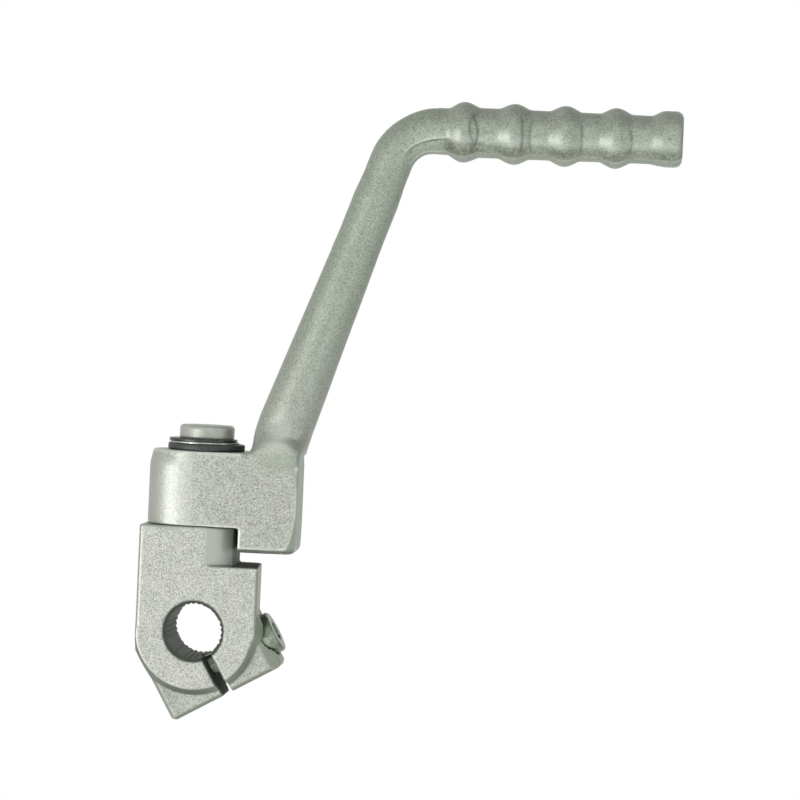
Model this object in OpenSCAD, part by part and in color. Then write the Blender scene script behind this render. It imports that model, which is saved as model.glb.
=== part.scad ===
// Folding kick start lever: a splined clamp knuckle with an upright pivot pin, and a forged lever
// whose hub turns on that pin. Millimetres. Z runs up the pivot pin, Y runs along the serrated
// bore, and the origin is in the middle of the bore. The pedal points to +X when it is folded.

/* [Serrated bore] */
// Diameter over the bottoms of the serration grooves
serration_d = 20; // [18:0.5:21]
// Depth of each serration groove
serration_depth = 1.4; // [1:0.1:1.8]
// Number of serration grooves round the bore
serration_count = 33; // [24:1:36]
// Share of the tooth pitch that is flat tooth tip
tooth_tip_share = 0.39; // [0.35:0.01:0.5]

/* [Knuckle block] */
// Width of the block across the bore
block_w = 37.4; // [35:0.2:40]
// Depth of the block along the bore
block_depth = 25.6; // [25.2:0.2:28]
// Height of the block's top face over the bore's axis
block_top = 33.2; // [32:0.2:38]
// Height of the stop ledge over the bore's axis
ledge_top = 21; // [20:0.5:24]
// Bevel of the upright edges on the plain side
block_bevel = 0.8; // [0.4:0.1:1.5]
// Bevel of the upright edges on the ledge side
ledge_bevel = 1.6; // [0.8:0.1:2.4]

/* [Clamp ears] */
// Angle of the pinch bolt over the horizontal, in degrees
ear_angle = 30; // [25:1:35]
// Depth of the ears along the bore
ear_depth = 17.6; // [16:0.2:20]
// Reach of the ears from the bore's axis, along the slot
ear_reach = 22.8; // [21:0.2:25]
// Reach of the threaded ear from the slot's middle
thread_ear_len = 19.8; // [18.8:0.2:21]
// Reach of the head's ear from the slot's middle
head_ear_len = 19.4; // [18.5:0.2:21]
// Bevel beside the bolt's head, which the counterbore breaks through
head_ear_bevel = 3.5; // [2.5:0.1:4]
// Bevel of the ears' other edges
ear_bevel = 1.2; // [0.5:0.1:1.8]
// Width of the clamp slot
slot_w = 3.4; // [2.4:0.2:4]
// How far the boss's sloping flank runs out over the ears
flank_run = 1.8; // [1:0.1:2.4]

/* [Pinch bolt] */
// Thread diameter of the bolt
bolt_d = 8; // [7:0.5:8]
// Diameter of the bolt's waisted shank
bolt_waist_d = 6.7; // [5.5:0.1:6.8]
// Distance of the bolt's axis from the bore's axis
bolt_offset = 12.2; // [12.1:0.1:13]
// Diameter of the bolt's head
head_d = 13.5; // [12:0.5:13.5]
// Height of the bolt's head
head_h = 8; // [6:0.5:9]
// Width across the flats of the head's socket
socket_w = 6; // [5:0.5:7]
// Depth of the head's counterbore below the ear's end
counterbore_depth = 5.4; // [4:0.2:6.5]
// Gap round the head in its counterbore
head_gap = 0.6; // [0.4:0.1:1]
// How far the bolt's tip stays inside the threaded ear
tip_inset = 2.8; // [1:0.2:5]

/* [Pivot pin] */
// Diameter of the pivot pin
pin_d = 17.5; // [15:0.5:18]
// Height of the pin over the circlip
pin_stand = 4.3; // [3:0.1:6]
// Radial running clearance of the hub on the pin
pin_clearance = 0.05; // [0.02:0.01:0.08]
// Depth of the circlip's groove
groove_depth = 0.4; // [0.3:0.05:0.6]

/* [Hub] */
// Depth of the hub along the bore, which is also the width of its round end
hub_depth = 24.6; // [24.4:0.2:26]
// Reach of the hub's round end behind the pin's axis
hub_tail = 17.9; // [16:0.1:18.4]
// Reach of the hub's outer side from the pin's axis
hub_nose = 31.2; // [30:0.2:36]
// Height of the hub on the pin
hub_h = 23.8; // [20:0.2:28]
// Gap between the hub and the block's top face
hub_gap = 0.2; // [0.15:0.05:0.5]
// Gap between the stop lug and the ledge
lug_gap = 4.7; // [3:0.1:6]
// Width of the hub's nose bevels at the lug's foot
nose_bevel = 3.6; // [2:0.2:5]
// Angle at which the nose bevels fade out upwards
nose_bevel_fade = 4.4; // [3:0.2:6]
// Radius of the lug's lower outer edge
lug_round = 2; // [1:0.5:3]

/* [Fold stops] */
// Angle through which the lever swings out, in degrees
swing = 60; // [50:1:64]
// Distance of the folded stop's wall from the pin's axis
stop_wall = 10.8; // [10.4:0.1:11.2]
// Radius of the turned relief that the lug swings round
relief_r = 12.5; // [12:0.1:12.7]
// Gap between the lug and each stop
stop_gap = 0.3; // [0.2:0.05:0.5]

/* [Arm] */
// Distance of the arm's root from the pin's axis
arm_x = 24.1; // [22:0.1:26]
// Radius of the arm at its root
arm_root_r = 9; // [7.5:0.1:9.5]
// Radius of the arm at its waist
arm_waist_r = 7.3; // [6:0.1:7.6]
// Radius of the bend and the neck
neck_r = 7.5; // [6.5:0.05:7.7]
// Angle of the arm from upright, in degrees
arm_lean = 19.2; // [12:0.2:24]
// Height of the arm's lower corner over the hub
root_h = 5.7; // [5:0.1:9]
// Centre-line radius of the lower bend
root_bend_r = 20; // [14:1:24]
// Centre-line radius of the upper bend
neck_bend_r = 15.5; // [12:0.5:17]
// Place of the waist along the arm, as a share of its length
waist_share = 0.72; // [0.6:0.02:0.8]

/* [Pedal] */
// Height of the pedal's axis over the bore's axis
pedal_z = 162.3; // [140:0.1:190]
// Distance from the upper corner to the first ring
first_ring = 19.2; // [18.5:0.1:24]
// Spacing of the rings
ring_pitch = 16.1; // [13:0.1:20]
// Number of rings, with the one at the end
ring_count = 5; // [3:1:6]
// Crest radius of the rings
ring_r = 9.75; // [9:0.05:10.5]
// Crest radius of the end ring
end_ring_r = 9; // [8.5:0.05:10]
// Width of a ring at its foot
ring_foot = 9.8; // [7:0.2:11]
// Fullness of a ring's crest, from broad to narrow
ring_crown = 0.6; // [0.5:0.05:1.2]
// Core radius of the pedal beside the first ring
core_root_r = 8.1; // [7.6:0.05:8.4]
// Core radius of the pedal beside the end ring
core_end_r = 7.7; // [7:0.05:8]
// Rounding of the pedal's end
end_round = 2.4; // [0.8:0.1:3]

/* [Rings on the pin] */
// Outer diameter of the seal ring
seal_d = 24.6; // [22:0.2:24.6]
// Thickness of the seal ring
seal_t = 2.1; // [1.5:0.1:2.6]
// Gap between the turning hub and the seal ring
seal_gap = 0.1; // [0.05:0.05:0.2]
// Outer diameter of the thrust washer
washer_d = 22.2; // [21:0.2:24]
// Thickness of the thrust washer
washer_t = 0.6; // [0.4:0.1:1.2]
// Looseness of the thrust washer on the pin, across the diameter
washer_play = 1.4; // [0.4:0.1:1.6]
// Outer diameter of the circlip
circlip_d = 21.8; // [20.6:0.2:22.4]
// Thickness of the circlip
circlip_t = 1; // [0.8:0.1:1.4]
// Eccentricity of the circlip's outer edge, away from its opening
circlip_ecc = 1.1; // [0.5:0.1:1.2]
// Width of the circlip's opening
circlip_opening = 4; // [2:0.5:6]
// Direction of the circlip's opening, in degrees
circlip_angle = 20; // [-20:5:60]

/* [Detent] */
// Diameter of the detent ball
ball_d = 5; // [4:0.5:5]
// Distance of the ball from the pin's axis
ball_reach = 12.5; // [12:0.1:12.9]
// Gap round the ball in its hole
ball_gap = 0.1; // [0.05:0.05:0.2]
// How far the ball lifts into a dimple
ball_lift = 0.8; // [0.4:0.1:1]
// Depth of the ball's hole
ball_hole_depth = 17; // [14:0.5:20]
// Wire diameter of the detent spring
wire_d = 0.8; // [0.5:0.1:0.9]
// Number of turns of the detent spring
spring_turns = 7; // [4:1:9]

/* [Hidden] */
$fn = 96;
far = 60;
past = 1;

// Bore and block
tip_r = serration_d / 2 - serration_depth;
boss_r = block_w / 2;
flank_bite = 0.3;
flank_short = 0.05;
flank_root = ear_bevel + 0.3;
ear_top = boss_r * sin(ear_angle);
ear_corner = (boss_r - thread_ear_len * cos(ear_angle)) / sin(ear_angle);

// Bolt, in the ears' own frame
head_seat = head_ear_len - counterbore_depth;
bolt_hole_gap = 0.25;
thread_gap = 0.05;
waist_end = -bolt_d / 2 - 0.6;
bolt_rim = 0.5;
socket_depth = head_h / 2;

// Levels up the pin
hub_bottom = block_top + hub_gap;
hub_top = hub_bottom + hub_h;
lug_bottom = ledge_top + lug_gap;
seal_z = hub_top + seal_gap;
washer_z = seal_z + seal_t;
circlip_z = washer_z + washer_t;
groove_play = 0.1;
pin_top = circlip_z + circlip_t + pin_stand;
pin_r = pin_d / 2;
groove_r = pin_r - groove_depth;
pin_bevel = 0.7;
ring_clearance = 0.15;

// Detent: the ball stands on the side away from the pedal, half the swing off the hub's middle
ball_r = ball_d / 2;
ball_angle = 180 - swing / 2;
ball_hole_r = ball_r + ball_gap;
ball_land_gap = 0.05;
ball_z = hub_bottom - ball_land_gap - ball_r;
ball_hole_bottom = block_top - ball_hole_depth;
wire_r = wire_d / 2;
coil_r = ball_hole_r - wire_r - 0.15;
spring_seat = 0.05;
spring_top = ball_z - sqrt(pow(ball_r + wire_r + spring_seat, 2) - pow(coil_r, 2));
spring_bottom = ball_hole_bottom + wire_r + spring_seat;
wire_sides = 6;
steps_per_turn = 12;

// Arm's centre line: corners and the tangent lengths of the two bends
root_corner_z = hub_top + root_h;
root_tangent = root_bend_r * tan(arm_lean / 2);
arm_rise = pedal_z - root_corner_z;
neck_corner_x = arm_x + arm_rise * tan(arm_lean);
neck_turn = 90 - arm_lean;
neck_tangent = neck_bend_r * tan(neck_turn / 2);
arm_len = arm_rise / cos(arm_lean) - root_tangent - neck_tangent;

// Distances along the centre line, from inside the hub's top
root_sink = 1;
root_z = hub_top - root_sink;
root_bend_z = root_corner_z - root_tangent;
root_bend_s = root_bend_z - root_z;
arm_s = root_bend_s + root_bend_r * arm_lean * PI / 180;
neck_bend_s = arm_s + arm_len;
neck_s = neck_bend_s + neck_bend_r * neck_turn * PI / 180;
waist_s = arm_s + arm_len * waist_share;

// Arm's root blend over the hub, and the sides of the arm's sections
blend_h = root_h + 1.5;
blend_inset = 0.15;
blend_squareness = 0.35;
neck_step = 0.1;
arm_sides = 40;

// Pedal's profile
ring_steps = 6;
last_ring = first_ring + (ring_count - 1) * ring_pitch;
end_len = 5.2;
pedal_end = last_ring + end_len;

// Centre line's x, z and lean at the distance s
function centre(s) = s < root_bend_s ? [arm_x, root_z + s, 0]
    : s < arm_s ? let (a = (s - root_bend_s) / root_bend_r * 180 / PI)
        [arm_x + root_bend_r * (1 - cos(a)), root_bend_z + root_bend_r * sin(a), a]
    : s < neck_bend_s ? let (d = s - arm_s + root_tangent)
        [arm_x + d * sin(arm_lean), root_corner_z + d * cos(arm_lean), arm_lean]
    : s < neck_s ? let (a = arm_lean + (s - neck_bend_s) / neck_bend_r * 180 / PI)
        [neck_corner_x + neck_tangent - neck_bend_r * cos(a), pedal_z - neck_bend_r * (1 - sin(a)), a]
    : [neck_corner_x + neck_tangent + s - neck_s, pedal_z, 90];

// Arm's radius at the distance s
function arm_r(s) = s < arm_s ? arm_root_r
    : s < waist_s ? arm_root_r + (arm_waist_r - arm_root_r) * (s - arm_s) / (waist_s - arm_s)
    : arm_waist_r + (neck_r - neck_step - arm_waist_r)
        * min(1, (s - waist_s) / (neck_bend_s - waist_s));

// One section of the arm: round, but squared, as deep as the hub and cut back to its nose where
// it grows out of it
function arm_section(s) = let (
        t = min(1, s / blend_h),
        fade = pow(1 - t, 2),
        nose = min(arm_root_r, hub_nose - arm_x - blend_inset),
        outer = arm_r(s) + (nose - arm_r(s)) * fade,
        b = arm_r(s) + (hub_depth / 2 - blend_inset - arm_r(s)) * fade,
        power = 1 - blend_squareness * 2 * (1 - t),
        at = centre(s)
    ) [for (k = [0 : arm_sides - 1]) let (
            c = cos(360 * k / arm_sides),
            d = sin(360 * k / arm_sides),
            u = (c > 0 ? outer : arm_r(s)) * sign(c) * pow(abs(c), power),
            v = b * sign(d) * pow(abs(d), power)
        ) [at[0] + u * cos(at[2]), v, at[1] - u * sin(at[2])]];

// Distances at which the arm has a section
function steps(from, to, count) = [for (i = [0 : count - 1]) from + (to - from) * i / count];
arm_stations = concat(
    steps(0, blend_h, 7),
    steps(blend_h, arm_s + blend_h, 3),
    steps(arm_s + blend_h, waist_s, 3),
    steps(waist_s, neck_bend_s, 2),
    steps(neck_bend_s, neck_s, 12),
    [neck_s, neck_s + root_sink]
);

function ring_s(i) = first_ring + i * ring_pitch;
function crown(s) = pow(0.5 + 0.5 * cos(360 * s / ring_foot), ring_crown);
function core_r(s) = s < first_ring ? neck_r
    : core_root_r + (core_end_r - core_root_r) * (s - first_ring) / (last_ring - first_ring);
function ring_point(i, k, crest) = let (
        offset = k * ring_foot / 2 / ring_steps,
        s = ring_s(i) + offset
    ) [core_r(s) + (crest - core_r(s)) * crown(offset), s];

// Places its children in the ears' frame: X along the bolt towards its head, Z up the slot
module ear_frame() {
    rotate([0, -ear_angle, 0]) children();
}

// Rectangle from x0 to x1, centred on Y, with its corners bevelled by b0 at x0 and b1 at x1
module bevelled_plan(x0, x1, depth, b0, b1) {
    y = depth / 2;
    polygon([
        [x0 + b0, -y], [x1 - b1, -y], [x1, -y + b1], [x1, y - b1],
        [x1 - b1, y], [x0 + b0, y], [x0, y - b0], [x0, -y + b0]
    ]);
}

// Space that the lug and its stop gap sweep above the ledge
module lug_sweep() {
    translate([0, 0, ledge_top]) {
        // folded stop's wall
        translate([stop_wall, -far, 0]) cube([far, 2 * far, far]);
        // turned relief from the wall to the flat
        difference() {
            rotate([0, 0, -swing]) cube([far, far, far]);
            translate([0, 0, -past]) cylinder(r = relief_r, h = far + 2 * past);
        }
        // flat that the lug meets when it is swung out
        rotate([0, 0, -swing]) translate([relief_r, -far, 0]) cube([far, far + past, far]);
    }
}

module knuckle_block() {
    difference() {
        intersection() {
            rotate([90, 0, 0]) linear_extrude(height = block_depth, center = true) union() {
                circle(r = boss_r);
                translate([-boss_r, 0]) square([block_w, block_top]);
            }
            translate([0, 0, -boss_r - past]) linear_extrude(height = block_top + boss_r + 2 * past)
                bevelled_plan(-boss_r, boss_r, block_depth, block_bevel, ledge_bevel);
        }
        lug_sweep();
    }
}

// Ears' outline seen along the bore: the block's plain side runs straight down to the threaded ear
module ear_outline() {
    polygon([
        [-boss_r * cos(ear_angle), ear_top],
        [-thread_ear_len, ear_corner], [-thread_ear_len, -ear_reach + ear_bevel],
        [-thread_ear_len + ear_bevel, -ear_reach], [head_ear_len - ear_bevel, -ear_reach],
        [head_ear_len, -ear_reach + ear_bevel], [head_ear_len, 0]
    ]);
}

module clamp_ears() {
    ear_frame() intersection() {
        rotate([90, 0, 0]) linear_extrude(height = ear_depth, center = true) ear_outline();
        translate([0, 0, -ear_reach - past]) linear_extrude(height = ear_reach + ear_top + 2 * past)
            bevelled_plan(-thread_ear_len, head_ear_len, ear_depth, ear_bevel, head_ear_bevel);
        rotate([0, 90, 0]) translate([0, 0, -far / 2]) linear_extrude(height = far)
            bevelled_plan(-ear_top - past, ear_reach, ear_depth, 0, ear_bevel);
    }
}

// Sloping flanks of the boss, which run out on the ears' faces and root just below their bevels
module boss_flanks() {
    step = (block_depth - ear_depth) / 2;
    slope = (flank_run + flank_bite) / step;
    intersection() {
        ear_frame() rotate([90, 0, 0]) linear_extrude(height = block_depth, center = true)
            ear_outline();
        for (side = [0, 1]) rotate([0, 0, side * 180]) translate([0, ear_depth / 2 - flank_root, 0])
            rotate([-90, 0, 0]) cylinder(
                r1 = boss_r + flank_run + slope * flank_root,
                r2 = boss_r - flank_bite + slope * flank_short,
                h = step + flank_root - flank_short
            );
    }
}

module pivot_pin() {
    root = 3;
    translate([0, 0, block_top - root]) cylinder(r = pin_r, h = pin_top - pin_bevel - block_top + root);
    translate([0, 0, pin_top - pin_bevel]) cylinder(r1 = pin_r, r2 = pin_r - pin_bevel, h = pin_bevel);
}

module circlip_groove() {
    translate([0, 0, circlip_z]) difference() {
        cylinder(r = pin_r + past, h = circlip_t + groove_play);
        translate([0, 0, -past]) cylinder(r = groove_r, h = circlip_t + groove_play + 2 * past);
    }
}

module serrated_bore() {
    pitch = 2 * PI * tip_r / serration_count;
    half = pitch * (1 - tooth_tip_share) / 2;
    inset = 0.2;
    rotate([90, 0, 0]) {
        cylinder(r = tip_r, h = block_depth + 2 * past, center = true);
        for (i = [0 : serration_count - 1]) rotate([0, 0, 360 * i / serration_count])
            linear_extrude(height = block_depth + 2 * past, center = true)
                polygon([[tip_r - inset, -half], [tip_r + serration_depth, 0], [tip_r - inset, half]]);
    }
}

// Clamp slot, bolt hole, counterbore and tapped hole
module clamp_cuts() {
    bolt_r = bolt_d / 2;
    ear_frame() {
        translate([-slot_w / 2, -block_depth / 2 - past, -ear_reach - past])
            cube([slot_w, block_depth + 2 * past, ear_reach + past]);
        translate([0, 0, -bolt_offset]) rotate([0, 90, 0]) {
            cylinder(r = bolt_r + bolt_hole_gap, h = head_seat + past);
            translate([0, 0, head_seat]) cylinder(r = head_d / 2 + head_gap, h = far);
            translate([0, 0, -thread_ear_len - past]) cylinder(r = bolt_r, h = thread_ear_len + past);
        }
    }
}

// Upright blind hole for the detent ball and its spring
module detent_hole() {
    rotate([0, 0, ball_angle]) translate([ball_reach, 0, ball_hole_bottom])
        cylinder(r = ball_hole_r, h = ball_hole_depth + past);
}

module knuckle() {
    color("silver") difference() {
        union() {
            knuckle_block();
            clamp_ears();
            boss_flanks();
            pivot_pin();
        }
        circlip_groove();
        serrated_bore();
        clamp_cuts();
        detent_hole();
    }
}

module clamp_bolt() {
    bolt_r = bolt_d / 2;
    thread_r = bolt_r - thread_gap;
    tip = -thread_ear_len + tip_inset;
    color("darkseagreen") ear_frame() translate([0, 0, -bolt_offset]) rotate([0, 90, 0]) {
        difference() {
            union() {
                translate([0, 0, head_seat]) cylinder(r = head_d / 2, h = head_h - bolt_rim);
                translate([0, 0, head_seat + head_h - bolt_rim])
                    cylinder(r1 = head_d / 2, r2 = head_d / 2 - bolt_rim, h = bolt_rim);
            }
            translate([0, 0, head_seat + head_h - socket_depth])
                cylinder(d = socket_w / cos(30), h = socket_depth + past, $fn = 6);
        }
        translate([0, 0, waist_end]) cylinder(d = bolt_waist_d, h = head_seat - waist_end);
        translate([0, 0, tip + bolt_rim]) cylinder(r = thread_r, h = waist_end - tip - bolt_rim);
        translate([0, 0, tip]) cylinder(r1 = thread_r - bolt_rim, r2 = thread_r, h = bolt_rim);
    }
}

// Hub's plan: a round end behind the pin and a square nose in front of it
module hub_plan() {
    end_r = hub_depth / 2;
    translate([end_r - hub_tail, 0]) circle(r = end_r);
    translate([end_r - hub_tail, -end_r]) square([hub_nose + hub_tail - end_r, hub_depth]);
}

// Stop lug's plan: the hub's nose, clear of both stops and of the turned relief
module lug_plan() {
    difference() {
        hub_plan();
        circle(r = relief_r + stop_gap);
        translate([-far, -far]) square([far + stop_wall + stop_gap, 2 * far]);
        translate([-far, -far]) square([far + relief_r + stop_gap, far]);
    }
}

// Tilted bevels on the nose's upright edges, wider towards the foot of the lug
module nose_bevels() {
    for (side = [-1, 1])
        translate([hub_nose, side * hub_depth / 2, lug_bottom])
            rotate([0, 0, side * 45]) rotate([0, nose_bevel_fade, 0])
                translate([-nose_bevel / sqrt(2), -far / 2, -far]) cube([far, far, 2 * far]);
}

// Rounds the lug's lower outer edge
module lug_edge_round() {
    translate([hub_nose - lug_round, 0, lug_bottom + lug_round]) rotate([90, 0, 0]) difference() {
        translate([0, -lug_round - past, -far / 2]) cube([lug_round + past, lug_round + past, far]);
        cylinder(r = lug_round, h = far + 2 * past, center = true);
    }
}

module hub() {
    difference() {
        union() {
            translate([0, 0, hub_bottom]) linear_extrude(height = hub_h) hub_plan();
            translate([0, 0, lug_bottom]) linear_extrude(height = hub_bottom - lug_bottom + past)
                lug_plan();
        }
        nose_bevels();
        lug_edge_round();
    }
}

// Arm with its two bends, lofted through its sections
module arm() {
    last = len(arm_stations) - 1;
    points = [for (s = arm_stations) each arm_section(s)];
    sides = [for (i = [0 : last - 1], k = [0 : arm_sides - 1]) let (
            here = i * arm_sides + k,
            beside = i * arm_sides + (k + 1) % arm_sides
        ) [here, here + arm_sides, beside + arm_sides, beside]];
    start = [for (k = [0 : arm_sides - 1]) k];
    finish = [for (k = [arm_sides - 1 : -1 : 0]) last * arm_sides + k];
    polyhedron(points = points, faces = concat([start], sides, [finish]));
}

// Neck, rings and rounded end, turned about the pedal's axis
module pedal() {
    translate([neck_corner_x, 0, pedal_z]) rotate([0, 90, 0]) rotate_extrude() polygon([
        [0, neck_tangent],
        [neck_r, neck_tangent],
        for (i = [0 : ring_count - 2], k = [-ring_steps : ring_steps]) ring_point(i, k, ring_r),
        for (k = [-ring_steps : 0]) ring_point(ring_count - 1, k, end_ring_r),
        for (a = [0 : 22.5 : 90])
            [end_ring_r - end_round * (1 - cos(a)), pedal_end - end_round * (1 - sin(a))],
        [0, pedal_end]
    ]);
}

// Dimples in the hub's underside, one for each end of the swing
module detent_dimples() {
    for (angle = [ball_angle, ball_angle + swing])
        rotate([0, 0, angle]) translate([ball_reach, 0, ball_z + ball_lift])
            sphere(r = ball_r + ball_gap);
}

module lever() {
    color("lightgray") difference() {
        union() {
            hub();
            arm();
            pedal();
        }
        translate([0, 0, hub_bottom - past]) cylinder(r = pin_r + pin_clearance, h = hub_h + 2 * past);
        detent_dimples();
    }
}

module flat_ring(z, outer_r, inner_r, t) {
    translate([0, 0, z]) difference() {
        cylinder(r = outer_r, h = t);
        translate([0, 0, -past]) cylinder(r = inner_r, h = t + 2 * past);
    }
}

module seal_ring() {
    color("dimgray") flat_ring(seal_z, seal_d / 2, pin_r + ring_clearance, seal_t);
}

// The washer is loose on the pin and has slipped to one side
module thrust_washer() {
    slip = -washer_play / 2 + thread_gap;
    color("gray") translate([slip, 0, 0])
        flat_ring(washer_z, washer_d / 2, pin_r + washer_play / 2, washer_t);
}

// Open ring, widest opposite its opening
module circlip() {
    color("black") rotate([0, 0, circlip_angle]) translate([0, 0, circlip_z]) difference() {
        translate([-circlip_ecc, 0, 0]) cylinder(d = circlip_d, h = circlip_t);
        translate([0, 0, -past]) cylinder(r = groove_r + thread_gap, h = circlip_t + 2 * past);
        translate([0, -circlip_opening / 2, -past])
            cube([far, circlip_opening, circlip_t + 2 * past]);
    }
}

module detent_ball() {
    color("white") rotate([0, 0, ball_angle]) translate([ball_reach, 0, ball_z]) sphere(r = ball_r);
}

// Wire's outline at one step along the coil
function wire_ring(i, steps) = let (
        a = 360 * i / steps_per_turn,
        z = spring_bottom + (spring_top - spring_bottom) * i / steps
    ) [for (k = [0 : wire_sides - 1]) let (b = 360 * k / wire_sides, r = coil_r + wire_r * cos(b))
        [r * cos(a), r * sin(a), z + wire_r * sin(b)]];

module detent_spring() {
    steps = spring_turns * steps_per_turn;
    points = [for (i = [0 : steps]) each wire_ring(i, steps)];
    sides = [for (i = [0 : steps - 1], k = [0 : wire_sides - 1]) let (
            here = i * wire_sides + k,
            beside = i * wire_sides + (k + 1) % wire_sides
        ) [here, here + wire_sides, beside + wire_sides, beside]];
    start = [for (k = [0 : wire_sides - 1]) k];
    finish = [for (k = [wire_sides - 1 : -1 : 0]) steps * wire_sides + k];
    color("gold") rotate([0, 0, ball_angle]) translate([ball_reach, 0, 0])
        polyhedron(points = points, faces = concat([start], sides, [finish]));
}

lever();
knuckle();
clamp_bolt();
circlip();
thrust_washer();
seal_ring();
detent_ball();
detent_spring();
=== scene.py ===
import math

import bmesh
import bpy
import numpy as np
from mathutils import Matrix, Vector


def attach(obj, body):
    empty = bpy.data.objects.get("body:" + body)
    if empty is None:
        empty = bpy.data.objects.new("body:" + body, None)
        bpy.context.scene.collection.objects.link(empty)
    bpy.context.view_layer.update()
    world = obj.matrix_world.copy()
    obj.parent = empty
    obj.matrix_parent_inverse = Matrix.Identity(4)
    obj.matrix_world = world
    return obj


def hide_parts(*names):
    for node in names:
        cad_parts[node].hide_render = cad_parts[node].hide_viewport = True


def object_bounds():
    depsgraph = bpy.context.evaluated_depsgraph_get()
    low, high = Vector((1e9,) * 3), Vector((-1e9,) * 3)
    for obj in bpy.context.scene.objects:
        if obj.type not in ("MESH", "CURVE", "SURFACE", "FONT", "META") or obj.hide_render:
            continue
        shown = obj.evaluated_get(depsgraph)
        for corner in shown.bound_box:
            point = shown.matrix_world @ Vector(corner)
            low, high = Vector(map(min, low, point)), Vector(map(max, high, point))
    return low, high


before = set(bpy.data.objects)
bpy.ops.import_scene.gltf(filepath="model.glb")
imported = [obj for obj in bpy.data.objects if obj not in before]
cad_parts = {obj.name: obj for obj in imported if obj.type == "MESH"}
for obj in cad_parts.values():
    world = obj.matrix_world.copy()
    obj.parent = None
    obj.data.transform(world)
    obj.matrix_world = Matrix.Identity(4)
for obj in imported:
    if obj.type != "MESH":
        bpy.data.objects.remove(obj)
cad_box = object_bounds()
scene = bpy.context.scene
MM = 0.001


# Camera, which looks at the bore's front face from a metre away
def add_camera():
    image_px = 800
    sensor_mm = 36
    focal_px = 3131.7
    place = (136.25 * MM, -997.2 * MM, 99.1 * MM)
    turn_degrees = (88.69, -2.65, 4.35)
    data = bpy.data.cameras.new("camera")
    data.sensor_width = sensor_mm
    data.lens = focal_px / image_px * sensor_mm
    data.clip_end = 20
    camera = bpy.data.objects.new("camera", data)
    scene.collection.objects.link(camera)
    camera.location = place
    camera.rotation_euler = [math.radians(a) for a in turn_degrees]
    scene.camera = camera


# Node trees
class Tree:
    """Short calls that add nodes to a material's or the world's tree."""

    def __init__(self, owner):
        owner.use_nodes = True
        self.nodes = owner.node_tree.nodes
        self.links = owner.node_tree.links
        self.nodes.clear()

    def add(self, kind, inputs=None, **settings):
        node = self.nodes.new(kind)
        for name, value in settings.items():
            setattr(node, name, value)
        for name, value in (inputs or {}).items():
            if isinstance(value, bpy.types.NodeSocket):
                self.links.new(value, node.inputs[name])
            else:
                node.inputs[name].default_value = value
        return node

    def math(self, operation, a, b, clamp=False):
        return self.add("ShaderNodeMath", {0: a, 1: b}, operation=operation, use_clamp=clamp).outputs[0]

    def mix(self, factor, a, b, blend="MIX"):
        node = self.add("ShaderNodeMix", {0: factor}, data_type="RGBA", blend_type=blend)
        for socket, value in ((node.inputs[6], a), (node.inputs[7], b)):
            if isinstance(value, bpy.types.NodeSocket):
                self.links.new(value, socket)
            else:
                socket.default_value = (*value, 1)
        return node.outputs[2]

    def grey(self, value):
        return self.add("ShaderNodeCombineColor", {0: value, 1: value, 2: value}).outputs[0]

    def span(self, value, low, high, out_low=0.0, out_high=1.0):
        sockets = {0: value, 1: low, 2: high, 3: out_low, 4: out_high}
        return self.add("ShaderNodeMapRange", sockets, interpolation_type="SMOOTHSTEP").outputs[0]

    def place(self, stretch=(1, 1, 1)):
        coords = self.add("ShaderNodeTexCoord").outputs["Object"]
        return self.add("ShaderNodeMapping", {"Vector": coords, "Scale": stretch}).outputs[0]

    def noise(self, size, detail, rough, place=None):
        sockets = {"Scale": 1 / size, "Detail": detail, "Roughness": rough, "Vector": place or self.place()}
        return self.add("ShaderNodeTexNoise", sockets).outputs["Fac"]

    def cells(self, size):
        sockets = {"Scale": 1 / size, "Vector": self.place()}
        colour = self.add("ShaderNodeTexVoronoi", sockets).outputs["Color"]
        return self.add("ShaderNodeSeparateColor", {0: colour}).outputs[0]

    def attribute(self, name):
        return self.add("ShaderNodeAttribute", attribute_name=name).outputs["Fac"]

    def bump(self, height, depth, strength, normal=None):
        sockets = {"Height": height, "Distance": depth, "Strength": strength}
        if normal:
            sockets["Normal"] = normal
        return self.add("ShaderNodeBump", sockets).outputs[0]

    def surface(self, sockets):
        shader = self.add("ShaderNodeBsdfPrincipled", {**sockets, "IOR": 1.5})
        self.add("ShaderNodeOutputMaterial", {"Surface": shader.outputs[0]})


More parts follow.
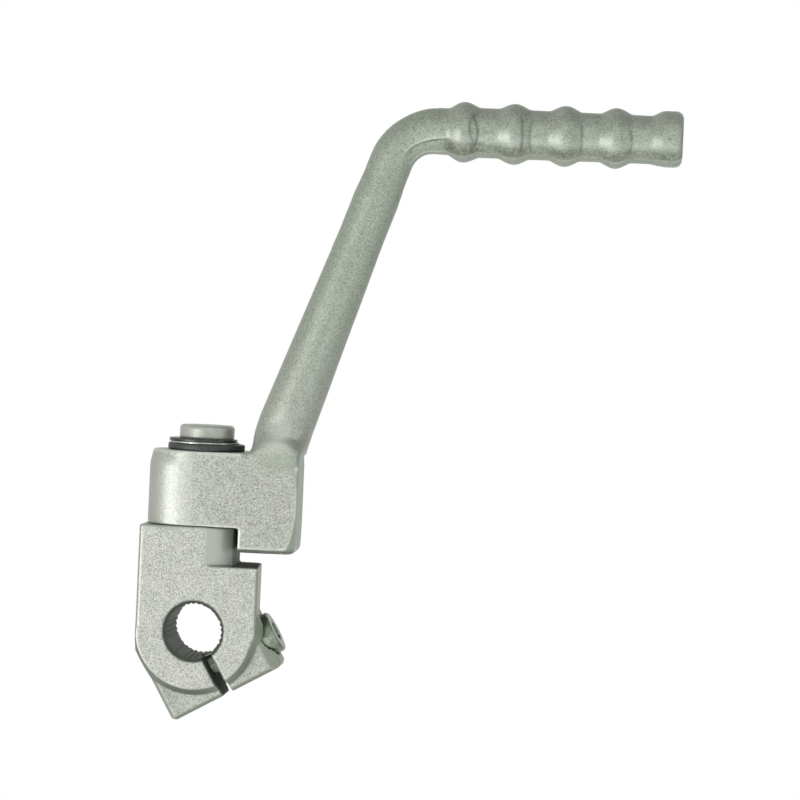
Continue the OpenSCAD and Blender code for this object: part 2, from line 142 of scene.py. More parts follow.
# Materials
def blasted_steel(name, pale, green, metallic, grain_depth):
    """Blasted and coated steel. The mesh says where, from 0 to 1, it has its grain; is green-grey and
    smoother, which is partly painted shade; is dark and dull with oil and painted shade; is dirty and
    has painted shade; or is pale, with wear and painted highlights on its edges and painted highlights
    elsewhere."""
    material = bpy.data.materials.new(name)
    tree = Tree(material)
    grain_share = tree.attribute("grain")
    fine = tree.noise(0.46 * MM, 2, 0.7)
    flake = tree.cells(0.36 * MM)
    cloud = tree.noise(6 * MM, 4, 0.6)
    speck = tree.noise(1.1 * MM, 2, 0.7)
    grain = tree.math("ADD", tree.math("MULTIPLY", fine, 0.8), tree.math("MULTIPLY", flake, 0.2))
    oil_and_shade = tree.attribute("oil_and_shade")
    # Green-grey tone: the smoother finish, and painted shade on faces turned aside from the front and back.
    tone = tree.mix(tree.attribute("smooth_and_shade"), pale, green)
    tone = tree.mix(tree.span(cloud, 0.35, 0.65, 0, 0.2), tone, [c * 0.88 for c in green])
    swing = tree.math("MULTIPLY", tree.math("SUBTRACT", grain, 0.5), grain_share)
    sparkle = tree.math("ADD", tree.math("MULTIPLY", swing, 2.4), 1.0)
    tone = tree.mix(1.0, tone, tree.grey(sparkle), "MULTIPLY")
    # Dark dull colour: oil in the knuckle's bore, and painted shade in recesses, grooves and on faces that
    # look down.
    tone = tree.mix(oil_and_shade, tone, (0.028, 0.036, 0.022))
    # Mottled grime and painted shade.
    dirt_and_shade = tree.math("MULTIPLY", tree.attribute("dirt_and_shade"), tree.span(speck, 0.35, 0.65, 0.25, 1), clamp=True)
    tone = tree.mix(dirt_and_shade, tone, (0.12, 0.14, 0.09))
    # Pale colour: wear on ridges, and painted highlights.
    tone = tree.mix(tree.attribute("edge"), tone, (0.82, 0.83, 0.79))
    rough = tree.span(grain, 0.25, 0.75, 0.4, 0.56)
    rough = tree.math("MAXIMUM", rough, tree.math("MULTIPLY", oil_and_shade, 0.95))
    bare = tree.math("SUBTRACT", 1.0, oil_and_shade, clamp=True)
    normal = tree.bump(grain, grain_depth, tree.math("MULTIPLY", grain_share, 0.7))
    normal = tree.bump(cloud, 0.12 * MM, 0.35, normal)
    tree.surface({
        "Base Color": tone, "Roughness": rough, "Metallic": tree.math("MULTIPLY", bare, metallic),
        "Normal": normal, "Specular IOR Level": 0.5,
    })
    return material


def turned_steel(name, pale, dark, roughness):
    """Turned or drawn steel with fine rings round Z."""
    material = bpy.data.materials.new(name)
    tree = Tree(material)
    rings = tree.noise(0.12 * MM, 2, 0.6, tree.place((0.02, 0.02, 1)))
    cloud = tree.noise(3 * MM, 3, 0.6)
    tone = tree.mix(tree.span(rings, 0.3, 0.7), dark, pale)
    tone = tree.mix(tree.span(cloud, 0.45, 0.75, 0, 0.35), tone, [c * 0.6 for c in dark])
    rough = tree.span(cloud, 0.3, 0.7, roughness * 0.8, roughness * 1.25)
    tree.surface({
        "Base Color": tone, "Roughness": rough, "Metallic": 0.95,
        "Normal": tree.bump(rings, 0.02 * MM, 0.4),
    })
    return material


def plated_steel(name, pale, dark):
    """Zinc plated steel, cloudy and a little glossy."""
    material = bpy.data.materials.new(name)
    tree = Tree(material)
    cloud = tree.noise(2.5 * MM, 4, 0.6)
    fine = tree.noise(0.3 * MM, 3, 0.6)
    tone = tree.mix(tree.span(cloud, 0.35, 0.68), dark, pale)
    tone = tree.mix(tree.span(fine, 0.35, 0.75, 0, 0.25), tone, (0.75, 0.77, 0.7))
    tree.surface({
        "Base Color": tone, "Roughness": tree.span(fine, 0.3, 0.7, 0.24, 0.4), "Metallic": 0.92,
        "Normal": tree.bump(fine, 0.02 * MM, 0.5),
    })
    return material


def dark_finish(name, colour, roughness, metallic, size):
    """Black phosphate or rubber with a fine mottled skin."""
    material = bpy.data.materials.new(name)
    tree = Tree(material)
    fine = tree.noise(size, 3, 0.6)
    tone = tree.mix(tree.span(fine, 0.35, 0.75), [c * 0.6 for c in colour], [c * 1.6 for c in colour])
    tree.surface({
        "Base Color": tone, "Roughness": tree.span(fine, 0.3, 0.7, roughness * 0.8, roughness * 1.2),
        "Metallic": metallic, "Normal": tree.bump(fine, 0.03 * MM, 0.5),
    })
    return material


# Mesh tools
def welded_copy(node, name):
    """A copy of a node's mesh with its corners joined."""
    piece = bpy.data.objects.new(name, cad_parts[node].data.copy())
    piece.matrix_world = Matrix.Identity(4)
    scene.collection.objects.link(piece)
    shape = bmesh.new()
    shape.from_mesh(piece.data)
    bmesh.ops.remove_doubles(shape, verts=shape.verts, dist=0.001 * MM)
    shape.to_mesh(piece.data)
    shape.free()
    return piece


def dress(piece, body, material, replaced):
    """Gives a new piece its material, hangs it on its body and hides the node that it replaces."""
    piece.data.materials.clear()
    piece.data.materials.append(material)
    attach(piece, body)
    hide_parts(replaced)


def apply_modifiers(piece):
    depsgraph = bpy.context.evaluated_depsgraph_get()
    mesh = bpy.data.meshes.new_from_object(piece.evaluated_get(depsgraph))
    piece.modifiers.clear()
    piece.data = mesh


def remesh(piece, voxel):
    modifier = piece.modifiers.new("voxels", "REMESH")
    modifier.mode = "VOXEL"
    modifier.voxel_size = voxel
    modifier.use_smooth_shade = True
    apply_modifiers(piece)


def rows_of(items, name, width, kind=float):
    """A value of each vertex or edge, as the rows of an array."""
    flat = np.empty(len(items) * width, dtype=kind)
    items.foreach_get(name, flat)
    return flat.reshape(-1, width)


def points_of(mesh):
    return rows_of(mesh.vertices, "co", 3)


def normals_of(mesh):
    return rows_of(mesh.vertices, "normal", 3)


def edges_of(mesh):
    return rows_of(mesh.edges, "vertices", 2, np.int64)


def set_points(mesh, points):
    mesh.vertices.foreach_set("co", points.ravel())
    mesh.update()


def set_attribute(mesh, name, values):
    layer = mesh.attributes.new(name, "FLOAT", "POINT")
    layer.data.foreach_set("value", np.asarray(values, dtype=np.float32))


def neighbour_mean(values, edges):
    """The mean of each vertex's neighbours."""
    count = np.bincount(edges.ravel(), minlength=len(values)).astype(float)
    total = np.empty_like(values)
    for k in range(values.shape[1]):
        total[:, k] = (
            np.bincount(edges[:, 0], values[edges[:, 1], k], len(values))
            + np.bincount(edges[:, 1], values[edges[:, 0], k], len(values))
        )
    return total / count[:, None]


def smoothed(points, edges, rounds, weight=1.0, grow=-0.53):
    """Smooths without shrinking, as each round moves in and then out again. With a grow of 0 it
    moves in only, which fills corners."""
    for _ in range(rounds):
        for share in (0.5, grow):
            points = points + weight * share * (neighbour_mean(points, edges) - points)
    return points


def blended(values, edges, rounds):
    """One value a vertex, spread a little over the neighbours."""
    column = np.asarray(values, float).reshape(-1, 1)
    for _ in range(rounds):
        column = 0.5 * column + 0.5 * neighbour_mean(column, edges)
    return column[:, 0]


def bulge_of(points, edges, normals):
    """How far, in millimetres, each vertex stands out of its neighbours: over 0 on ridges."""
    level = points
    for _ in range(3):
        level = neighbour_mean(level, edges)
    return np.einsum("ij,ij->i", points - level, normals) / MM


def soft_step(values, low, high):
    """From 0 at low to 1 at high."""
    t = np.clip((values - low) / (high - low), 0, 1)
    return t * t * (3 - 2 * t)


def window(values, low, high, soft):
    """1 between low and high, with soft ends."""
    return soft_step(values, low - soft, low) * (1 - soft_step(values, high, high + soft))


def ridge(values, at, width):
    """1 at one value and falling to both sides."""
    return np.exp(-(((values - at) / width) ** 2))


def unevenness(points, size, seed):
    """Slow random waves over the surface, about from -1 to 1."""
    waves = 9
    random = np.random.default_rng(seed)
    total = np.zeros(len(points))
    for _ in range(waves):
        heading = random.normal(size=3)
        heading *= 2 * math.pi / (size * random.uniform(0.7, 1.6) * np.linalg.norm(heading))
        total += np.sin(points @ heading + random.uniform(0, 2 * math.pi))
    return total / math.sqrt(waves)


# Lamps, world and floor
def add_lamp(name, place, size, watts, tint=(1, 1, 1)):
    """A rectangular lamp that shines on the lever's middle."""
    middle = Vector((60 * MM, 0, 70 * MM))
    data = bpy.data.lights.new(name, "AREA")
    data.shape = "RECTANGLE"
    data.size, data.size_y = size
    data.energy = watts
    data.color = tint
    lamp = bpy.data.objects.new(name, data)
    scene.collection.objects.link(lamp)
    lamp.location = place
    lamp.rotation_euler = (middle - Vector(place)).to_track_quat("-Z", "Y").to_euler()


def add_world():
    """White for the camera. Reflections see it white behind the lever, and grey in front of it:
    lighter to the left and below, darker to the right and above."""
    white = (1, 1, 1)
    scene.world = bpy.data.worlds.new("world")
    tree = Tree(scene.world)
    path = tree.add("ShaderNodeLightPath").outputs
    direction = tree.add("ShaderNodeTexCoord").outputs["Generated"]
    slope = tree.add("ShaderNodeVectorMath", {0: direction, 1: (-0.5, 0, -0.1)}, operation="DOT_PRODUCT")
    front = tree.mix(tree.span(slope.outputs["Value"], -0.5, 0.5), (0.44, 0.47, 0.44), (0.98, 1, 0.96))
    ahead = tree.add("ShaderNodeSeparateXYZ", {0: direction}).outputs["Y"]
    studio = tree.mix(tree.span(ahead, 0.5, 0.98), front, white)
    mirrored = tree.math("MAXIMUM", path["Is Glossy Ray"], path["Is Transmission Ray"])
    colour = tree.mix(mirrored, (0.30, 0.32, 0.29), studio)
    colour = tree.mix(path["Is Camera Ray"], colour, white)
    backdrop = tree.add("ShaderNodeBackground", {"Color": colour, "Strength": 1.0}).outputs[0]
    tree.add("ShaderNodeOutputWorld", {"Surface": backdrop})


def background_ray(tree):
    """1 for the rays that see the white background: camera, glossy and transmission rays."""
    path = tree.add("ShaderNodeLightPath").outputs
    either = tree.math("MAXIMUM", path["Is Camera Ray"], path["Is Glossy Ray"])
    return tree.math("MAXIMUM", either, path["Is Transmission Ray"])


def add_floor():
    """A pale floor below the lever, which shows white but keeps the shadow."""
    half = 3.0
    below = 620 * MM
    z = cad_box[0][2] - below
    corners = [(-half, -half, z), (half, -half, z), (half, half, z), (-half, half, z)]
    mesh = bpy.data.meshes.new("floor")
    mesh.from_pydata(corners, [], [(0, 1, 2, 3)])
    floor = bpy.data.objects.new("floor", mesh)
    scene.collection.objects.link(floor)
    material = bpy.data.materials.new("pale_floor")
    tree = Tree(material)
    mottle = tree.span(tree.noise(0.3, 2, 0.5), 0.3, 0.7, 0.78, 0.82)
    matt = tree.add("ShaderNodeBsdfDiffuse", {"Color": tree.grey(mottle)}).outputs[0]
    glow = tree.add("ShaderNodeEmission", {
        "Color": (1, 1, 1, 1), "Strength": tree.math("MULTIPLY", background_ray(tree), 0.72),
    }).outputs[0]
    both = tree.add("ShaderNodeAddShader", {0: matt, 1: glow}).outputs[0]
    tree.add("ShaderNodeOutputMaterial", {"Surface": both})
    mesh.materials.append(material)


def light_scene():
    """Lamps by name, place, size and watts, and the tint of the cool one."""
    add_lamp("key", (-0.72, -0.8, -0.1), (0.66, 0.32), 6)
    add_lamp("right", (0.66, -0.96, -0.17), (0.3, 0.3), 1.1, (0.88, 0.96, 1))
    add_lamp("front", (0.35, -1.2, 0.75), (1.2, 1.0), 3.9)
    add_lamp("low", (0.0, -1.15, -0.42), (0.9, 0.3), 1.3)
    add_lamp("side", (1.1, -0.35, 0.3), (0.5, 0.8), 2)
    scene.view_settings.view_transform = "Standard"


# Knuckle: the serrated bore is at the origin, the ledge side is at +X and the front face at -Y
KNUCKLE_VOXEL = 0.405
BLOCK_TOP_Z = 33.2
BLOCK_SIDE_X = 18.7
BLOCK_DEPTH = 25.6
FOOT_R = 18.7
LEDGE_Z = 21
LEDGE_BEVEL = 1.6
LEDGE_BEVEL_SHOWN = 0.7
STOP_WALL_X = 10.8
RECESS_TOP_Z = 28
SIDE_SPREAD = 1.2
SIDE_DRAFT = 0.6
TOOTH_TIP_R = 8.6
MOUTH_R = 9.8
EAR_ANGLE = math.radians(30)
EAR_DEPTH = 17.6
EAR_ROOT_R = 17
SLOT_W = 3.4


def cut_mouth(piece, side):
    """Cuts the bore's lead-in, a cone that the serrations run out in, on one face of the block."""
    deep = MOUTH_R - TOOTH_TIP_R
    past = 0.5
    shape = bmesh.new()
    bmesh.ops.create_cone(
        shape, cap_ends=True, segments=96, depth=(deep + past) * MM,
        radius1=TOOTH_TIP_R * MM, radius2=(MOUTH_R + past) * MM,
    )
    middle = side * (BLOCK_DEPTH / 2 + (past - deep) / 2) * MM
    turn = Matrix.Rotation(-side * math.pi / 2, 4, "X")
    bmesh.ops.transform(shape, matrix=Matrix.Translation((0, middle, 0)) @ turn, verts=shape.verts)
    mesh = bpy.data.meshes.new("mouth")
    shape.to_mesh(mesh)
    shape.free()
    cutter = bpy.data.objects.new("mouth", mesh)
    scene.collection.objects.link(cutter)
    modifier = piece.modifiers.new("mouth", "BOOLEAN")
    modifier.operation = "DIFFERENCE"
    modifier.solver = "EXACT"
    modifier.object = cutter
    apply_modifiers(piece)
    bpy.data.objects.remove(cutter)


def drafted_side(points):
    """Drafts the block's ledge side, which is widest at the front face, and narrows its bevel there."""
    x, y, z = (points / MM).T
    on_side = soft_step(x, 12, 17.5) * soft_step(z, -6, 1) * (z < LEDGE_Z + 1)
    deep = y / BLOCK_DEPTH + 0.5
    side = BLOCK_SIDE_X - x
    ahead = y + BLOCK_DEPTH / 2
    corner = side + ahead
    fill = np.minimum.reduce([side, ahead, (corner - LEDGE_BEVEL_SHOWN) / 2])
    fill = on_side * np.where(corner < LEDGE_BEVEL + 0.3, np.maximum(fill, 0), 0)
    moved = points.copy()
    moved[:, 0] += (on_side * (SIDE_SPREAD - (SIDE_SPREAD + SIDE_DRAFT) * deep) + fill) * MM
    moved[:, 1] -= fill * MM
    return moved


def oil_and_shade_share(x, y, z, normals, bore):
    """Where the knuckle is dark: with oil and painted shade in the bore, less on the tooth tips; with
    painted shade in the slot and the stop recess, on the unblasted flanks of its round foot, most at their
    lower left, and underneath."""
    from_bore = np.hypot(x, z)
    tooth = soft_step(from_bore, TOOTH_TIP_R + 0.1, MOUTH_R)
    # Oil and painted shade in the bore, less of it on the tooth tips.
    bore_oil_and_shade = bore * (0.97 - 0.32 * (1 - tooth))

    across_slot = x * math.cos(EAR_ANGLE) + z * math.sin(EAR_ANGLE)
    down_slot = x * math.sin(EAR_ANGLE) - z * math.cos(EAR_ANGLE)
    # Painted shade in the slot.
    slot = (1 - soft_step(np.abs(across_slot), SLOT_W / 2 + 0.05, SLOT_W / 2 + 0.3)) * (down_slot > 8)
    # Painted shade in the stop recess.
    recess = soft_step(x, STOP_WALL_X - 0.3, STOP_WALL_X + 0.1)
    recess = recess * window(z, LEDGE_Z - 0.05, RECESS_TOP_Z, 0.15)

    outward = (normals[:, 0] * x + normals[:, 2] * z) / np.maximum(from_bore, 1)
    flank = window(from_bore, FOOT_R - 0.1, FOOT_R + 1.9, 0.3) * soft_step(outward, 0.5, 0.75)
    flank = flank * (z < 2) * (np.abs(y) < BLOCK_DEPTH / 2 - 0.1)
    flank = flank * window(np.abs(normals[:, 1]), 0.3, 0.7, 0.1)
    # Painted shade on the foot's flanks, darkest at the lower left.
    lower_left = soft_step((-x - 1.6 * z) / from_bore, 0.6, 1.6)
    # Painted shade on faces that look down.
    underside_shade = soft_step(-normals[:, 2], 0.2, 0.6) * (z < -8) * (from_bore > EAR_ROOT_R)
    return np.maximum.reduce([
        bore_oil_and_shade, 0.85 * slot, 0.85 * recess, flank * (0.05 + 0.5 * lower_left), 0.3 * underside_shade,
    ])


def paint_knuckle(mesh, edges, points):
    """Sets the shares that the blasted steel reads."""
    normals = normals_of(mesh)
    bulge = bulge_of(points, edges, normals)
    x, y, z = (points / MM).T
    from_bore = np.hypot(x, z)
    front = soft_step(np.abs(normals[:, 1]), 0.75, 0.92)
    pin = soft_step(z, BLOCK_TOP_Z + 0.1, BLOCK_TOP_Z + 1.1)
    bore = 1 - soft_step(from_bore, MOUTH_R - 0.05, MOUTH_R + 0.25)
    in_relief = (z > LEDGE_Z + 0.05) & (z < BLOCK_TOP_Z - 0.05)
    relief = blended((x > 1) & (np.abs(y) < BLOCK_DEPTH / 2 - 0.08) & in_relief, edges, 1)
    ear_face = front * (1 - soft_step(np.abs(y), EAR_DEPTH / 2 + 0.2, EAR_DEPTH / 2 + 0.8))
    ear_face = ear_face * (from_bore > EAR_ROOT_R)
    # The left ear's face, darker towards its left end.
    left_ear = ear_face * np.clip(-x / 8, 0, 1)

    # Green-grey share: faces turned aside from the front and back, partly their smoother finish and partly
    # painted shade; the relief part way.
    smooth_and_shade = (1 - front) * (1 - pin) * (1 - relief) + 0.45 * relief
    # Paler ridges, most at the pin: partly wear, partly painted highlight.
    ridges = blended(soft_step(bulge, 0.05, 0.18), edges, 2) * (1 - bore) * (0.25 + 0.45 * pin)
    # Painted shade in concave spots.
    crease_shade = 0.45 * blended(soft_step(-bulge, 0.03, 0.15), edges, 2)
    knuckle_oil_and_shade = blended(oil_and_shade_share(x, y, z, normals, bore), edges, 1)
    set_attribute(mesh, "grain", (0.25 + 0.75 * front * (1 - relief)) * (1 - 0.8 * pin))
    set_attribute(mesh, "smooth_and_shade", np.maximum(smooth_and_shade, 0.3 * ear_face))
    set_attribute(mesh, "edge", np.maximum(ridges, 0.2 * relief))
    set_attribute(mesh, "oil_and_shade", np.maximum.reduce([knuckle_oil_and_shade, crease_shade, 0.22 * left_ear]))
    set_attribute(mesh, "dirt_and_shade", np.zeros(len(points)))


def add_knuckle(material):
    """The knuckle's solid with soft blasted edges and a lead-in at both mouths of the bore."""
    piece = welded_copy("knuckle", "knuckle_forging")
    for side in (-1, 1):
        cut_mouth(piece, side)
    remesh(piece, KNUCKLE_VOXEL * MM)
    mesh = piece.data
    edges = edges_of(mesh)
    points = drafted_side(smoothed(points_of(mesh), edges, 3))
    set_points(mesh, points)
    paint_knuckle(mesh, edges, points)
    dress(piece, "knuckle", material, "knuckle")


# Lever: the hub, the arm that leans from the hub's top, the bend and the pedal along +X
LEVER_VOXEL = 0.485
HUB_TOP_Z = 57.2
HUB_DEPTH = 24.6
HUB_NOSE = 31.2
LUG_BOTTOM_Z = 25.7
LUG_EDGE = 1.3
TAIL_CENTRE_X = -5.6
ARM_FOOT = (24.1, 62.9)
ARM_FOOT_R = 9
ARM_LEAN = math.radians(19.2)
FLARE_X = (15, 40)
FLARE_H = 11
BEND_R = 15.5
PEDAL_Z = 162.3
PEDAL_ROOT_X = 69.7
FIRST_RING_X = 77.9
RING_PITCH = 16.1
END_RING_X = (137.5, 141)
END_RING_RISE = 0.5

# The nose's bevel: in the solid, its width and how much of it a millimetre of height takes away;
# here, its width above a round foot, and that foot's width and height
NOSE_BEVEL = 3.6
NOSE_BEVEL_FADE = 0.109
NOSE_BEVEL_SHOWN = 0.6
NOSE_ROUND = 5
NOSE_ROUND_H = 14.3
NOSE_DRAFT = 0.6

# How far each mark of forging and bending rises from the surface, and where along X a rise may
# stand proud: not at the hub, nor at the pedal's end, which would grow past their solid
MARK_RISES = {
    "land": -0.16, "land ridge": 0.1, "fold": -0.6, "fold ridge": 0.22, "lines": -0.14, "thinning": -0.45,
}
PROUD_X = (37.9, 146.4)

# Curved lines on the pedal's flank, in millimetres along X and degrees round the axis: where a
# line crosses the flank, how far it bows, its middle and half height, and its strength
RING_LINES = [
    (82.8, 2.6, 5, 46, 1.0), (80.2, -1.9, -8, 38, 0.7), (97.0, 0.7, 5, 42, 0.8), (99.2, -0.5, 5, 40, 0.8),
    (115.6, 0.4, 8, 40, 0.9), (131.4, 1.0, 10, 34, 0.8),
]


class LeverPlace:
    """Where points of the lever are. Apart from x and z, it has their distance along the centre
    line from the pedal's root, their angle in degrees round that line, from the flank towards the
    inner side of the bend, and how far they belong to the hub, the arm and the pedal."""

    def __init__(self, points):
        x, y, z = (points / MM).T
        across = x - PEDAL_ROOT_X
        up = z - (PEDAL_Z - BEND_R)
        turned = np.arctan2(-across, up)
        bend_end = math.pi / 2 - ARM_LEAN
        in_pedal = (across > 0) & (up > 0)
        in_bend = ~in_pedal & (turned > 0) & (turned < bend_end) & (up > 0)

        arm_across = x - ARM_FOOT[0]
        arm_up = z - ARM_FOOT[1]
        arm_length = math.hypot(PEDAL_ROOT_X - ARM_FOOT[0], PEDAL_Z - BEND_R - ARM_FOOT[1])
        along_arm = arm_across * math.sin(ARM_LEAN) + arm_up * math.cos(ARM_LEAN)
        along_arm = along_arm - arm_length - BEND_R * bend_end
        inner_arm = arm_across * math.cos(ARM_LEAN) - arm_up * math.sin(ARM_LEAN)
        inner_bend = BEND_R - np.hypot(across, up)
        inner = np.where(in_pedal, PEDAL_Z - z, np.where(in_bend, inner_bend, inner_arm))

        self.x = x
        self.z = z
        self.along = np.where(in_pedal, across, np.where(in_bend, -BEND_R * turned, along_arm))
        self.angle = np.degrees(np.arctan2(inner, np.abs(y)))
        self.hub = 1 - soft_step(z, HUB_TOP_Z - 2, HUB_TOP_Z + 8)
        self.arm = 1 - self.hub
        self.pedal = soft_step(self.along, -2, 3)


def rounded_tail(points):
    """Rounds the top of the hub's round end, which leans in over its last few millimetres."""
    x, y, z = (points / MM).T
    across = x - TAIL_CENTRE_X
    reach = np.hypot(across, y)
    lean = soft_step(z, HUB_TOP_Z - 5.5, HUB_TOP_Z + 1) * soft_step(-across, -2, 6) * soft_step(reach, 8, 12)
    moved = points.copy()
    moved[:, 0] -= lean * across / np.maximum(reach, 1) * MM
    moved[:, 1] -= lean * y / np.maximum(reach, 1) * MM
    return moved


def flared_foot(points):
    """Spreads the arm's foot in depth, so that it runs out on the hub's faces."""
    x, y, z = (points / MM).T
    spread = (1 - soft_step(z, HUB_TOP_Z, HUB_TOP_Z + FLARE_H)) * window(x, *FLARE_X, 3)
    spread = spread * (z > HUB_TOP_Z - 0.3)
    growth = 1 + (HUB_DEPTH / 2 / ARM_FOOT_R - 1) * spread
    widest = HUB_DEPTH / 2 - 0.15
    reach = np.where(spread > 0, np.minimum(np.abs(y) * growth, widest), np.abs(y))
    moved = points.copy()
    moved[:, 1] = np.sign(y) * reach * MM
    return moved


def shaped_nose(points):
    """Gives the nose's upright bevels their round foot, drafts the nose towards the back
    and bevels the lug's lower edges."""
    x, y, z = (points / MM).T
    side = HUB_DEPTH / 2 - np.abs(y)
    ahead = HUB_NOSE - x
    height = z - LUG_BOTTOM_Z
    corner = ahead + side
    old = NOSE_BEVEL - NOSE_BEVEL_FADE * height
    drop = np.clip(1 - height / NOSE_ROUND_H, 0, 1)
    new = NOSE_BEVEL_SHOWN + NOSE_ROUND * (1 - np.sqrt(1 - drop ** 2))
    on_nose = (ahead < 8) & (z < HUB_TOP_Z - 4)
    on_bevel = on_nose & (corner < old + 0.35)
    fill = np.minimum.reduce([np.maximum(side, 0), np.maximum(ahead, 0), np.maximum(corner - new, 0) / 2])
    cut = np.where(on_nose & (corner < new), (corner - new) / 2, 0)
    fade = 1 - soft_step(z, HUB_TOP_Z - 12, HUB_TOP_Z - 4)
    shift = np.where(on_bevel, fill * fade, 0) + cut * fade
    lower = side + height
    lift = np.where((x > 12) & (lower < LUG_EDGE), (LUG_EDGE - lower) / 2, 0)
    draft = NOSE_DRAFT * soft_step(x, 18, HUB_NOSE) * (y / HUB_DEPTH + 0.5) * (z < HUB_TOP_Z)
    moved = points.copy()
    moved[:, 0] += (shift - draft) * MM
    moved[:, 1] += np.sign(y) * (shift - lift) * MM
    moved[:, 2] += lift * MM
    return moved


def soft_form(points, edges):
    """The lever with soft edges, its flared foot, its rounded tail and its shaped nose."""
    points = smoothed(points, edges, 4)
    x, _, z = (points / MM).T
    foot = window(x, *FLARE_X, 3) * window(z, HUB_TOP_Z - 1.5, HUB_TOP_Z + 2, 3)
    points = smoothed(flared_foot(points), edges, 46, foot[:, None], 0)
    points = shaped_nose(rounded_tail(points))
    near_nose = window(x, 24, 40, 2) * (1 - soft_step(z, HUB_TOP_Z - 6, HUB_TOP_Z - 3))
    return smoothed(points, edges, 3, near_nose[:, None], 0)


def ring_lines(x, angle):
    """The curved lines at the rings' right feet, darkened with painted shade in their fine grooves."""
    weight = np.zeros(len(x))
    for at, bow, middle, half, strength in RING_LINES:
        share = (angle - middle) / half
        ends = 1 - soft_step(np.abs(share), 0.75, 1.1)
        weight = np.maximum(weight, strength * ridge(x, at - bow * share ** 2, 0.42) * ends)
    return weight


def forging_marks(place):
    """How strong each mark is at each point: the trimmed flash land along the inner side of the
    pedal and the bend, the fold inside the bend, the lines on the pedal and the thinner bend."""
    along, angle = place.along, place.angle
    on_land = soft_step(along, -24, -12)
    land_edge = 58 + 6 * window(along, -14, 2, 6)
    in_fold = window(along, -11, 1.5, 3.5)
    fold_top = 27 - 6 * soft_step(along, -6, 4)
    fold_width = soft_step(angle, fold_top - 2, fold_top + 3) * (1 - soft_step(angle, fold_top + 5, 62))
    return {
        "land": on_land * soft_step(angle, land_edge - 1.5, land_edge + 1.5),
        "land ridge": on_land * ridge(angle, land_edge - 2.5, 2.6),
        "fold": in_fold * fold_width,
        "fold ridge": in_fold * ridge(angle, fold_top - 3.5, 3),
        # A darker line in the fold, below its ridge: painted shade and grime.
        "fold dirt": in_fold * ridge(angle, fold_top + 3, 3.5) * soft_step(along, -8, 0),
        "lines": ring_lines(place.x, angle),
        "thinning": window(along, -25, -9, 9),
    }


def marked(points, normals, place, marks):
    """Raises and sinks the surface at its marks and slow dents, and lifts the end ring."""
    push = place.arm * (0.04 * unevenness(points, 17 * MM, 3) + 0.012 * unevenness(points, 6 * MM, 4))
    for name, rise in MARK_RISES.items():
        push = push + rise * marks[name]
    proud = window(place.x, *PROUD_X, 0.8)
    moved = points + normals * (push * np.where(push > 0, proud, 1) * MM)[:, None]
    moved[:, 2] += END_RING_RISE * soft_step(place.x, *END_RING_X) * MM
    return moved


def lever_dirt_and_shade(place, marks):
    """Grime specks above the flash land, thickest round the rings and at the pedal's root, along a band that
    is also painted shade below the pedal's highlight; painted shade and grime in the fold.
    """
    from_ring = np.abs((place.x - FIRST_RING_X + RING_PITCH / 2) % RING_PITCH - RING_PITCH / 2)
    # A band below the pedal's highlight: grime round the rings and painted shade along it.
    above_land = window(place.angle, 34, 48, 9) * (0.5 + 0.35 * ridge(from_ring, 0, 3.6))
    at_root = 0.85 * window(place.x, 73, 83, 3) * window(place.angle, 28, 50, 7)
    return np.maximum.reduce([place.pedal * above_land, place.pedal * at_root, 0.9 * marks["fold dirt"]])


def lever_painted_highlights(place, marks, front):
    """Painted highlights: along the flash land's ridge, at the arm's foot, round the hub's end and along
    the pedal."""
    return np.maximum.reduce([
        0.45 * marks["land ridge"] * window(place.along, -14, 0, 4),
        0.34 * ridge(place.x, 23.5, 5) * ridge(place.z, HUB_TOP_Z + 6, 5) * front,
        0.13 * ridge(place.x, -8.6, 8) * place.hub,
        0.26 * ridge(place.x, -5.6, 3.4) * place.hub,
        0.08 * ridge(place.angle, 18, 9) * place.pedal,
    ])


def paint_lever(mesh, edges, points, place, marks):
    """Sets the shares that the blasted steel reads."""
    normals = normals_of(mesh)
    bulge = bulge_of(points, edges, normals)
    x, z, hub, arm, pedal = place.x, place.z, place.hub, place.arm, place.pedal
    front = soft_step(np.abs(normals[:, 1]), 0.6, 0.88)
    upward = soft_step(normals[:, 2], 0.2, 0.9)
    # Faces that look down at the lug's bottom, for painted shade.
    underside_shade = soft_step(-normals[:, 2], 0.3, 0.7) * (z < LUG_BOTTOM_Z + 3)
    from_foot = np.hypot((x - 26) / 12, (z - HUB_TOP_Z) / 7)
    near_foot = hub * (1 - soft_step(from_foot, 0.35, 1)) * (x > 10)
    round_foot = window(x, 12, 44, 3) * window(z, HUB_TOP_Z - 2, HUB_TOP_Z + 12, 2)

    blasted = hub * front * (1 - 0.45 * near_foot)
    # Green-grey share up the arm; on the pedal paler, and paler still on faces that look up: painted light
    # on its top.
    arm_smooth_and_shade = 0.3 * arm + 0.7 * soft_step(z, HUB_TOP_Z, 120) - pedal * (0.2 + 0.4 * upward)
    # On the hub, green-grey at the arm's foot and on faces turned aside on the nose side: partly the
    # smoother finish, partly painted shade.
    hub_smooth_and_shade = hub * np.maximum(1.05 * near_foot, 0.8 * (1 - front) * (x > 0))
    # Paler ridges: partly wear, partly painted highlight.
    ridges = blended(soft_step(bulge, 0.04, 0.14), edges, 2) * (1 - underside_shade) * (0.7 - 0.3 * arm)
    # Painted shade in concave spots, except round the arm's foot.
    crease_shade = 0.5 * blended(soft_step(-bulge, 0.04, 0.2), edges, 2) * (1 - round_foot)
    set_attribute(mesh, "grain", np.maximum(blasted, 0.65 * arm + 0.1))
    set_attribute(mesh, "smooth_and_shade", np.maximum(arm_smooth_and_shade, hub_smooth_and_shade))
    set_attribute(mesh, "edge", np.maximum(ridges, lever_painted_highlights(place, marks, front)))
    # Painted shade in concave spots, in the forging lines and on faces that look down.
    set_attribute(mesh, "oil_and_shade", np.maximum.reduce([crease_shade, 0.6 * marks["lines"], 0.55 * underside_shade]))
    set_attribute(mesh, "dirt_and_shade", lever_dirt_and_shade(place, marks))


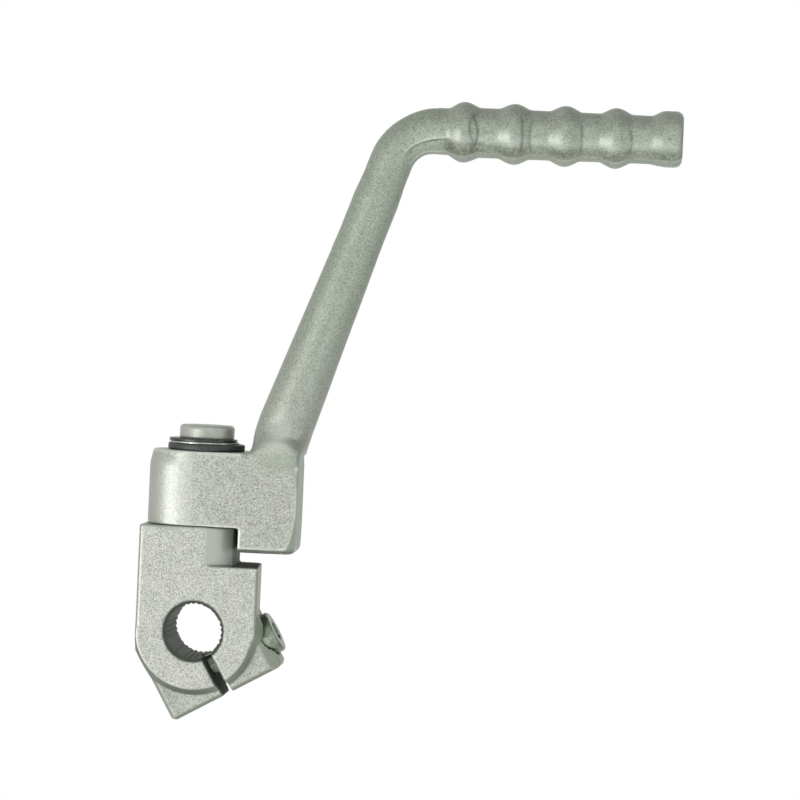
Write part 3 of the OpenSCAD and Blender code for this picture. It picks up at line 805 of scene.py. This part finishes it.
def add_lever(material):
    """The lever's solid with soft forged edges, its marks of forging and small dents."""
    piece = welded_copy("lever", "lever_forging")
    remesh(piece, LEVER_VOXEL * MM)
    mesh = piece.data
    edges = edges_of(mesh)
    points = soft_form(points_of(mesh), edges)
    set_points(mesh, points)
    place = LeverPlace(points)
    marks = forging_marks(place)
    points = marked(points, normals_of(mesh), place, marks)
    set_points(mesh, points)
    paint_lever(mesh, edges, points, place, marks)
    dress(piece, "lever", material, "lever")


# Bolt and rings
def add_bevelled(node, name, width, segments, material):
    """A node of the knuckle's body with its sharp edges rounded."""
    piece = welded_copy(node, name)
    modifier = piece.modifiers.new("edges", "BEVEL")
    modifier.width = width
    modifier.segments = segments
    modifier.limit_method = "ANGLE"
    modifier.angle_limit = math.radians(40)
    apply_modifiers(piece)
    for polygon in piece.data.polygons:
        polygon.use_smooth = True
    piece.data.set_sharp_from_angle(angle=math.radians(35))
    dress(piece, "knuckle", material, node)


add_camera()
add_world()
add_floor()
light_scene()

lever_steel = blasted_steel("lever_steel", (0.36, 0.366, 0.335), (0.305, 0.34, 0.285), 0.7, 0.05 * MM)
knuckle_steel = blasted_steel("knuckle_steel", (0.41, 0.415, 0.39), (0.3, 0.33, 0.275), 0.7, 0.05 * MM)
bolt_steel = plated_steel("bolt_steel", (0.19, 0.225, 0.175), (0.085, 0.11, 0.07))
ring_steel = dark_finish("ring_steel", (0.05, 0.055, 0.05), 0.35, 0.7, 0.4 * MM)
ring_rubber = dark_finish("ring_rubber", (0.03, 0.035, 0.03), 0.5, 0.0, 0.5 * MM)
washer_steel = turned_steel("washer_steel", (0.5, 0.53, 0.47), (0.32, 0.36, 0.3), 0.35)
ball_steel = turned_steel("ball_steel", (0.75, 0.75, 0.75), (0.65, 0.65, 0.65), 0.12)
wire_steel = turned_steel("wire_steel", (0.5, 0.5, 0.5), (0.35, 0.35, 0.35), 0.3)

add_lever(lever_steel)
add_knuckle(knuckle_steel)
add_bevelled("clamp_bolt", "pinch_bolt", 0.3 * MM, 3, bolt_steel)
add_bevelled("circlip", "pin_circlip", 0.18 * MM, 3, ring_steel)
add_bevelled("thrust_washer", "pin_washer", 0.12 * MM, 2, washer_steel)
add_bevelled("seal_ring", "pin_seal", 0.5 * MM, 4, ring_rubber)
for name, material in (("detent_ball", ball_steel), ("detent_spring", wire_steel)):
    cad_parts[name].data.materials.clear()
    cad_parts[name].data.materials.append(material)
